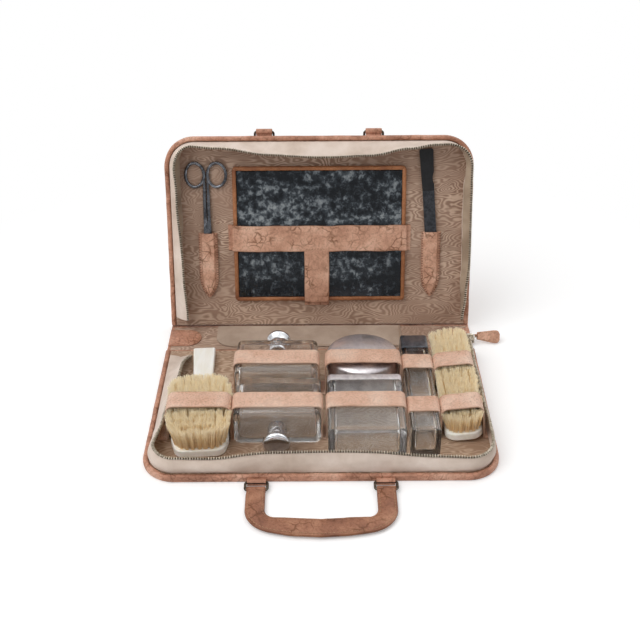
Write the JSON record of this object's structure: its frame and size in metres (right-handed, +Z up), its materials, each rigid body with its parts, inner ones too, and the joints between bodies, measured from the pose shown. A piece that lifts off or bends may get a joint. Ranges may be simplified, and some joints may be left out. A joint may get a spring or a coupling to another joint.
{
  "type": "dressing case",
  "caption": "Open zip-round leather dressing case: base tray with strapped brushes, bottles, jar, soap box and tube; leaning lid with mirror, scissors and nail file.",
  "frame": {"origin": "centre of the base tray's flat underside, where the open case rests on the table", "axes": "+X to the viewer's right, +Y away from the viewer towards the hinge and the leaning lid, +Z up"},
  "size_m": [0.3601, 0.4028, 0.2095],
  "materials": {
    "case_leather": "grained cowhide, satin, a little worn",
    "strap_leather": "grained cowhide, creased, satin",
    "frame_leather": "smooth leather over board, satin",
    "canvas": "plain woven lining cloth",
    "silk": "watered silk, low sheen",
    "board": "millboard, matt",
    "zip_brass": "aged, dull",
    "ring_steel": "darkened plate",
    "clear_glass": "polished, clear",
    "chrome_plate": "polished plate",
    "dark_plate": "tarnished plate",
    "silver_plate": "spun, rubbed by use",
    "cork": "pressed cork, matt",
    "celluloid": "ivory white, satin gloss",
    "bristle": "natural pale bristle",
    "mirror_silver": "aged, partly desilvered",
    "tool_steel": "aged plate",
    "dark_steel": "blackened, satin"
  },
  "bodies": {
    "base": {"base_cover": "case_leather", "base_board": "board", "base_lining": "silk", "base_gusset": "canvas", "base_zip_teeth": "zip_brass", "front_strap": "strap_leather", "rear_strap": "strap_leather", "front_chapes": "case_leather"},
    "spine": {"spine_cover": "case_leather", "spine_lining": "silk", "zip_end_tabs": "case_leather", "hinge_flap": "canvas", "zip_slider": "zip_brass"},
    "zip_pull": {"zip_pull_link": "zip_brass", "zip_pull_tab": "strap_leather"},
    "lid": {"lid_cover": "case_leather", "lid_board": "board", "lid_lining": "silk", "lid_gusset": "canvas", "lid_zip_teeth": "zip_brass", "rear_chapes": "case_leather", "mirror_strap": "strap_leather", "scissors_sheath": "strap_leather", "nail_file_sheath": "strap_leather"},
    "front_rings": {"front_rings": "ring_steel"},
    "front_handle": {"front_handle": "case_leather"},
    "rear_rings": {"rear_rings": "ring_steel"},
    "rear_handle": {"rear_handle": "case_leather"},
    "mirror": {"mirror_frame": "frame_leather", "mirror_glass": "mirror_silver"},
    "scissors": {"scissors_left_half": "tool_steel", "scissors_screw": "tool_steel"},
    "scissors_right": {"scissors_right_half": "tool_steel"},
    "nail_file": {"nail_file_blade": "tool_steel", "nail_file_grip": "dark_steel"},
    "hairbrush": {"hairbrush_back": "celluloid", "hairbrush_bristles": "bristle"},
    "clothes_brush": {"clothes_brush_back": "celluloid", "clothes_brush_bristles": "bristle"},
    "front_bottle": {"front_bottle": "clear_glass"},
    "front_cap": {"front_bottle_cap": "chrome_plate", "front_cap_liner": "cork"},
    "rear_bottle": {"rear_bottle": "clear_glass"},
    "rear_cap": {"rear_bottle_cap": "chrome_plate", "rear_cap_liner": "cork"},
    "jar": {"jar": "clear_glass"},
    "jar_lid": {"jar_lid": "chrome_plate"},
    "tube": {"toothbrush_tube": "clear_glass"},
    "tube_lid": {"toothbrush_tube_lid": "dark_plate"},
    "soap_bowl": {"soap_box_bowl": "silver_plate"},
    "soap_lid": {"soap_box_lid": "silver_plate"}
  },
  "joints": [
    {"name": "spine_fold", "type": "hinge", "parent": "base", "child": "spine", "pos_m": [0, 0.1055, 0.0012], "axis": [1, 0, 0], "range_deg": [0, 90]},
    {"name": "lid_fold", "type": "hinge", "parent": "spine", "child": "lid", "pos_m": [0, 0.1631, 0.0012], "axis": [1, 0, 0], "range_deg": [-73.5, 15]},
    {"name": "zip_pull_swing", "type": "hinge", "parent": "spine", "child": "zip_pull", "pos_m": [0.1625, 0.1258, 0.00845], "axis": [0, -1, 0], "range_deg": [0, 78]},
    {"name": "front_ring_swing", "type": "hinge", "parent": "base", "child": "front_rings", "pos_m": [0, -0.108, 0.0032], "axis": [1, 0, 0], "range_deg": [-90, 0]},
    {"name": "front_handle_swing", "type": "hinge", "parent": "front_rings", "child": "front_handle", "pos_m": [0, -0.1185, 0.0032], "axis": [1, 0, 0], "range_deg": [-25, 0]},
    {"name": "rear_ring_swing", "type": "hinge", "parent": "lid", "child": "rear_rings", "pos_m": [0, 0.22145, 0.2066], "axis": [1, 0, 0], "range_deg": [0, 90]},
    {"name": "rear_handle_swing", "type": "hinge", "parent": "rear_rings", "child": "rear_handle", "pos_m": [0, 0.22145, 0.1961], "axis": [1, 0, 0], "range_deg": [0, 75]},
    {"name": "mirror_slide", "type": "slide", "parent": "lid", "child": "mirror", "axis": [0, 0.2588, 0.9659], "range_m": [0, 0.018]},
    {"name": "scissors_slide", "type": "slide", "parent": "lid", "child": "scissors", "axis": [0, 0.2588, 0.9659], "range_m": [0, 0.015]},
    {"name": "scissors_pivot", "type": "hinge", "parent": "scissors", "child": "scissors_right", "pos_m": [-0.12105, 0.18474, 0.10825], "axis": [0, 0.9659, -0.2588], "range_deg": [0, 2]},
    {"name": "nail_file_slide", "type": "slide", "parent": "lid", "child": "nail_file", "axis": [-0.0732, 0.2581, 0.9633], "range_m": [0, 0.004]},
    {"name": "hairbrush_slide", "type": "slide", "parent": "base", "child": "hairbrush", "axis": [0, -1, 0], "range_m": [-0.056, 0]},
    {"name": "clothes_brush_slide", "type": "slide", "parent": "base", "child": "clothes_brush", "axis": [0, -1, 0], "range_m": [-0.06, 0]},
    {"name": "front_bottle_slide", "type": "slide", "parent": "base", "child": "front_bottle", "axis": [0, -1, 0], "range_m": [-0.009, 0]},
    {"name": "front_cap_pull", "type": "slide", "parent": "front_bottle", "child": "front_cap", "axis": [0, 1, 0], "range_m": [-0.003, 0]},
    {"name": "rear_bottle_slide", "type": "slide", "parent": "base", "child": "rear_bottle", "axis": [0, -1, 0], "range_m": [-0.058, 0]},
    {"name": "rear_cap_pull", "type": "slide", "parent": "rear_bottle", "child": "rear_cap", "axis": [0, -1, 0], "range_m": [-0.036, 0]},
    {"name": "jar_slide", "type": "slide", "parent": "base", "child": "jar", "axis": [0, -1, 0], "range_m": [-0.005, 0]},
    {"name": "jar_lid_pull", "type": "slide", "parent": "jar", "child": "jar_lid", "axis": [0, -1, 0], "range_m": [-0.005, 0]},
    {"name": "tube_slide", "type": "slide", "parent": "base", "child": "tube", "axis": [0, -1, 0], "range_m": [-0.05, 0]},
    {"name": "tube_lid_pull", "type": "slide", "parent": "tube", "child": "tube_lid", "axis": [0, -1, 0], "range_m": [-0.025, 0]},
    {"name": "soap_box_slide", "type": "slide", "parent": "base", "child": "soap_bowl", "axis": [0, -1, 0], "range_m": [-0.06, 0]},
    {"name": "soap_lid_turn", "type": "hinge", "parent": "soap_bowl", "child": "soap_lid", "pos_m": [0.0425, 0.051, 0.03], "axis": [0, 0, 1], "continuous": true}
  ]
}
